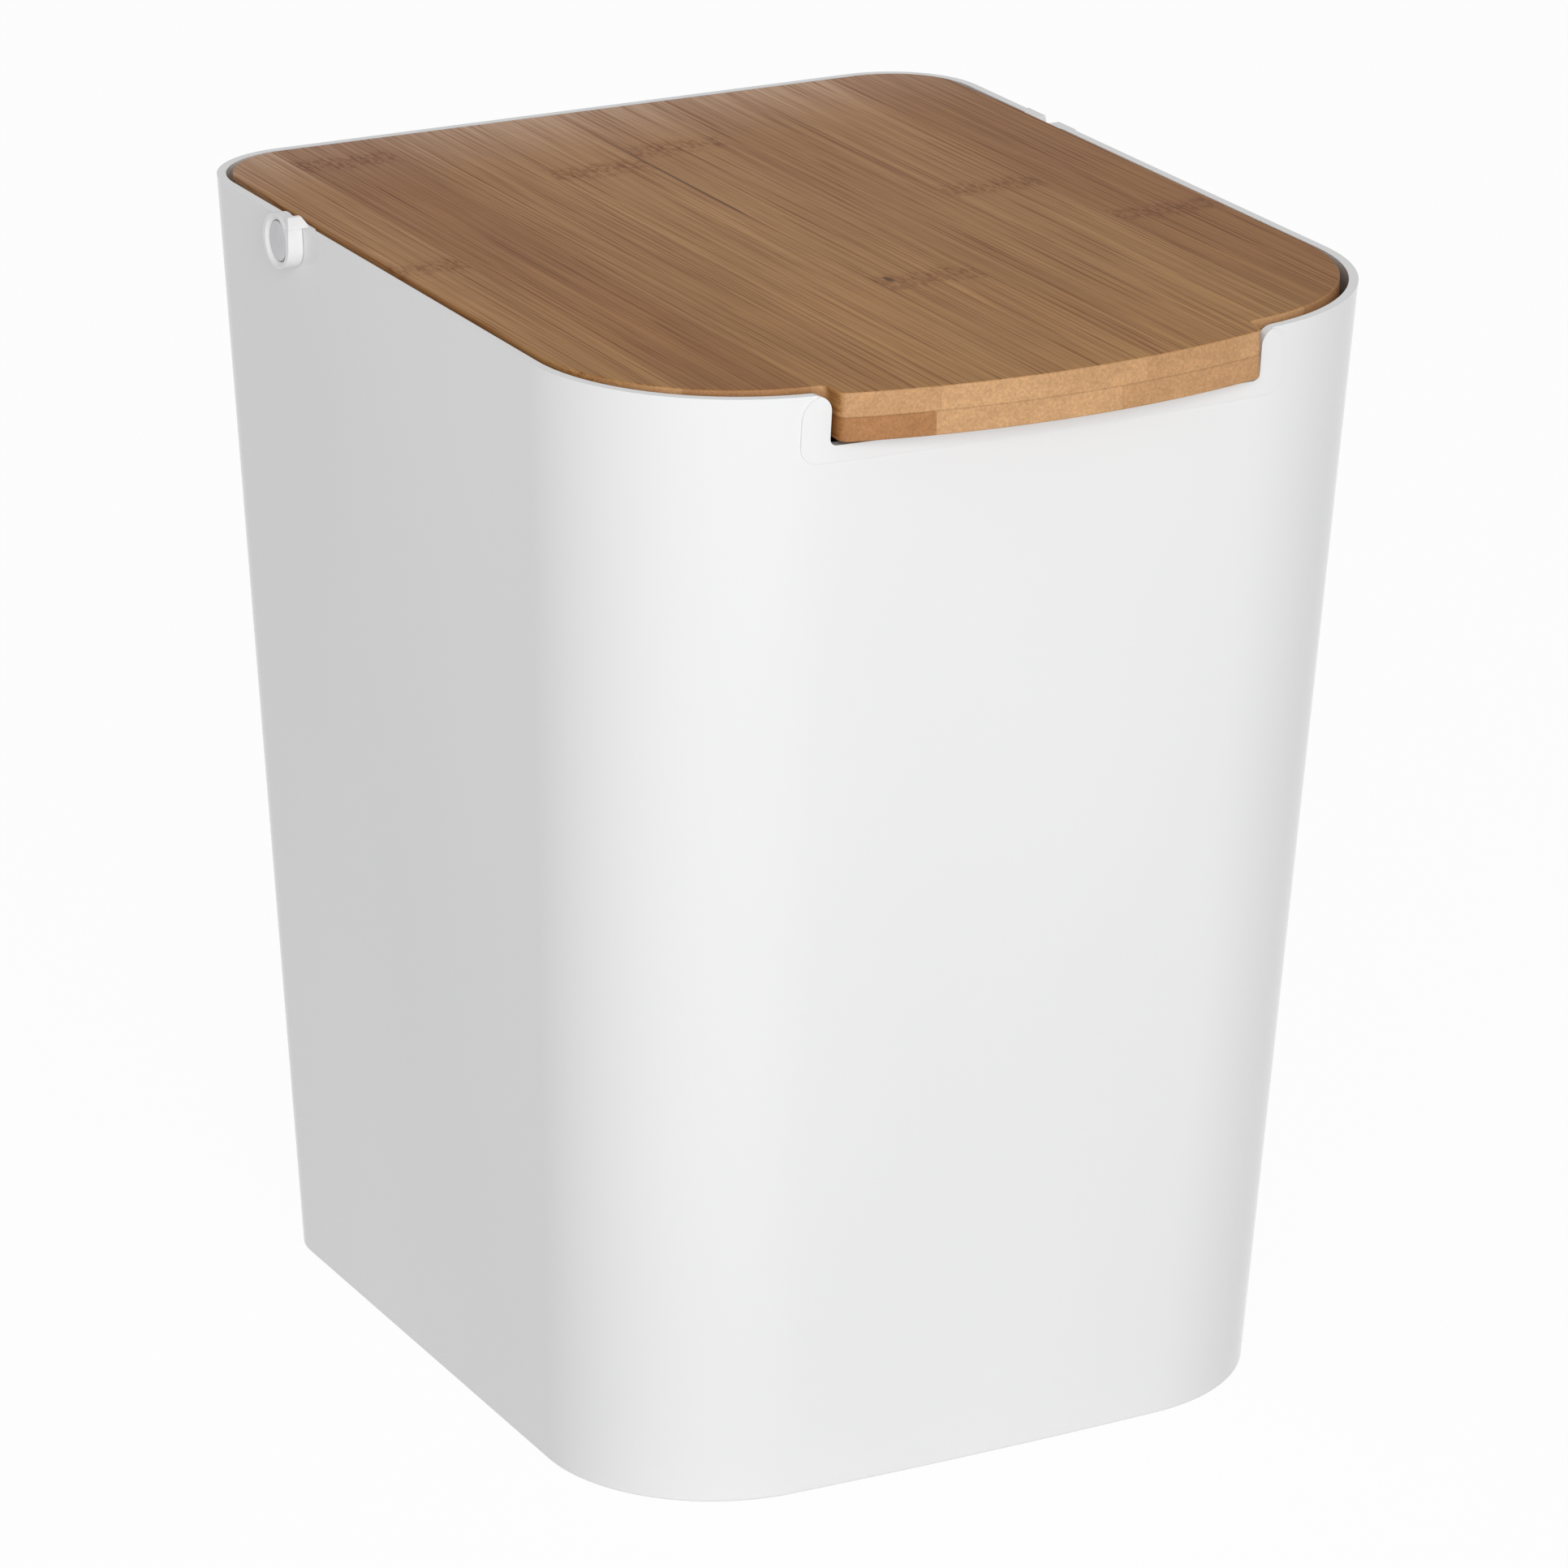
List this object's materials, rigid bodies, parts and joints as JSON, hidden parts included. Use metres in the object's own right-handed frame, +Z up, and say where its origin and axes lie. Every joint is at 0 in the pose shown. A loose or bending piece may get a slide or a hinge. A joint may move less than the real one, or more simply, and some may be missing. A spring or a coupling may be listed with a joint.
{
  "type": "bathroom trash can",
  "caption": "Tapered free-standing waste bin with rounded front corners and a layered bamboo lid that tips up on side pins; a tongue in a rim notch lifts the lid.",
  "frame": {"origin": "on the floor under the bin, on the base's underside, below the middle of the rim", "axes": "+Z up; -Y is the front, with the tongue and the notch; +X is the bin's right-hand side seen from the front"},
  "size_m": [0.1893, 0.2292, 0.2527],
  "materials": {
    "tub_plastic": "smooth white gloss",
    "bearing_plastic": "satin white",
    "pin_metal": "turned, dull",
    "bamboo_top": "caramel bamboo, thin satin lacquer, fine lengthwise grain",
    "bamboo_bottom": "caramel bamboo, thin satin lacquer, paler cut ends"
  },
  "bodies": {
    "bin": {"bin_body": "tub_plastic", "hinge_bearing_left": "bearing_plastic", "hinge_bearing_right": "bearing_plastic"},
    "lid": {"lid_top_strip_1": "bamboo_top", "lid_top_strip_2": "bamboo_top", "lid_top_strip_3": "bamboo_top", "lid_top_strip_4": "bamboo_top", "lid_top_strip_5": "bamboo_top", "lid_top_strip_6": "bamboo_top", "lid_top_strip_7": "bamboo_top", "lid_top_strip_8": "bamboo_top", "lid_bottom_strip_1": "bamboo_bottom", "lid_bottom_strip_2": "bamboo_bottom", "lid_bottom_strip_3": "bamboo_bottom", "lid_bottom_strip_4": "bamboo_bottom", "lid_bottom_strip_5": "bamboo_bottom", "lid_bottom_strip_6": "bamboo_bottom", "lid_bottom_strip_7": "bamboo_bottom", "lid_bottom_strip_8": "bamboo_bottom", "lid_bottom_strip_9": "bamboo_bottom", "hinge_pin_left": "pin_metal", "hinge_pin_right": "pin_metal"}
  },
  "joints": [
    {"name": "lid_hinge", "type": "hinge", "parent": "bin", "child": "lid", "pos_m": [0, 0.055, 0.2461], "axis": [-1, 0, 0], "range_deg": [0, 100]}
  ]
}
